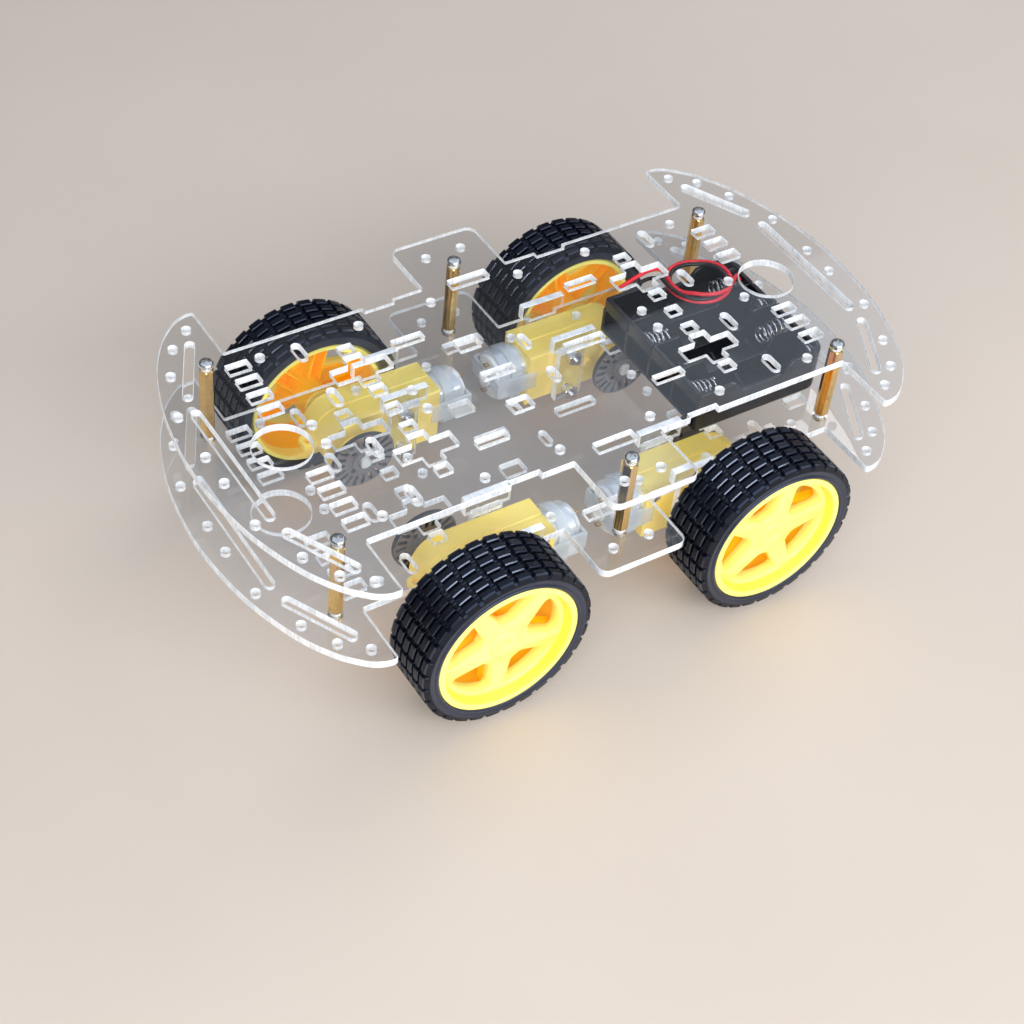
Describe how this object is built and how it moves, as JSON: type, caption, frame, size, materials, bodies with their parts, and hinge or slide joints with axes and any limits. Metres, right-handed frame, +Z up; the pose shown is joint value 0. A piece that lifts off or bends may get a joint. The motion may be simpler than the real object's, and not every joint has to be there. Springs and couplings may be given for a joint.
{
  "type": "four wheel robot chassis",
  "caption": "Clear two-deck rover chassis with four yellow geared motors, black treaded tyres on yellow rims, brass standoffs, a black battery tray and its two leads.",
  "frame": {"origin": "on the floor under the middle of the machine", "axes": "+X towards the end with the battery tray, along the longest side; +Z up, the shortest side; +Y to the left"},
  "size_m": [0.2716, 0.163, 0.084],
  "materials": {
    "acrylic": "clear polished sheet",
    "brass": "turned",
    "screw_steel": "nickel plated",
    "gearbox_plastic": "moulded",
    "motor_steel": "bright plated can",
    "white_plastic": "moulded",
    "black_plastic": "moulded",
    "rim_plastic": "moulded",
    "tyre_rubber": "treaded",
    "red_pvc": "wire insulation",
    "black_pvc": "wire insulation"
  },
  "bodies": {
    "chassis": {"lower_deck": "acrylic", "upper_deck": "acrylic", "standoff_rear_left": "brass", "standoff_rear_right": "brass", "standoff_mid_left": "brass", "standoff_mid_right": "brass", "standoff_front_left": "brass", "standoff_front_right": "brass", "deck_screw_rear_left": "screw_steel", "deck_screw_rear_right": "screw_steel", "deck_screw_mid_left": "screw_steel", "deck_screw_mid_right": "screw_steel", "deck_screw_front_left": "screw_steel", "deck_screw_front_right": "screw_steel", "gearbox_rear_left": "gearbox_plastic", "motor_rear_left": "motor_steel", "bracket_inner_rear_left": "acrylic", "bracket_outer_rear_left": "acrylic", "motor_bolt_upper_rear_left": "screw_steel", "motor_bolt_lower_rear_left": "screw_steel", "gearbox_rear_right": "gearbox_plastic", "motor_rear_right": "motor_steel", "bracket_inner_rear_right": "acrylic", "bracket_outer_rear_right": "acrylic", "motor_bolt_upper_rear_right": "screw_steel", "motor_bolt_lower_rear_right": "screw_steel", "gearbox_front_left": "gearbox_plastic", "motor_front_left": "motor_steel", "bracket_inner_front_left": "acrylic", "bracket_outer_front_left": "acrylic", "motor_bolt_upper_front_left": "screw_steel", "motor_bolt_lower_front_left": "screw_steel", "gearbox_front_right": "gearbox_plastic", "motor_front_right": "motor_steel", "bracket_inner_front_right": "acrylic", "bracket_outer_front_right": "acrylic", "motor_bolt_upper_front_right": "screw_steel", "motor_bolt_lower_front_right": "screw_steel", "battery_tray": "black_plastic", "lead_coil": "red_pvc", "lead_red_root": "red_pvc", "lead_black_root": "black_pvc", "lead_red_tail": "red_pvc", "lead_black_tail": "black_pvc"},
    "wheel_set_rear_left": {"shaft_rear_left": "white_plastic", "encoder_disc_rear_left": "black_plastic", "wheel_rear_left": "rim_plastic", "tyre_rear_left": "tyre_rubber"},
    "wheel_set_rear_right": {"shaft_rear_right": "white_plastic", "encoder_disc_rear_right": "black_plastic", "wheel_rear_right": "rim_plastic", "tyre_rear_right": "tyre_rubber"},
    "wheel_set_front_left": {"shaft_front_left": "white_plastic", "encoder_disc_front_left": "black_plastic", "wheel_front_left": "rim_plastic", "tyre_front_left": "tyre_rubber"},
    "wheel_set_front_right": {"shaft_front_right": "white_plastic", "encoder_disc_front_right": "black_plastic", "wheel_front_right": "rim_plastic", "tyre_front_right": "tyre_rubber"}
  },
  "joints": [
    {"name": "axle_rear_left", "type": "hinge", "parent": "chassis", "child": "wheel_set_rear_left", "pos_m": [-0.058, 0.069, 0.034], "axis": [0, 1, 0], "continuous": true},
    {"name": "axle_rear_right", "type": "hinge", "parent": "chassis", "child": "wheel_set_rear_right", "pos_m": [-0.058, -0.069, 0.034], "axis": [0, 1, 0], "continuous": true},
    {"name": "axle_front_left", "type": "hinge", "parent": "chassis", "child": "wheel_set_front_left", "pos_m": [0.058, 0.069, 0.034], "axis": [0, 1, 0], "continuous": true},
    {"name": "axle_front_right", "type": "hinge", "parent": "chassis", "child": "wheel_set_front_right", "pos_m": [0.058, -0.069, 0.034], "axis": [0, 1, 0], "continuous": true}
  ]
}
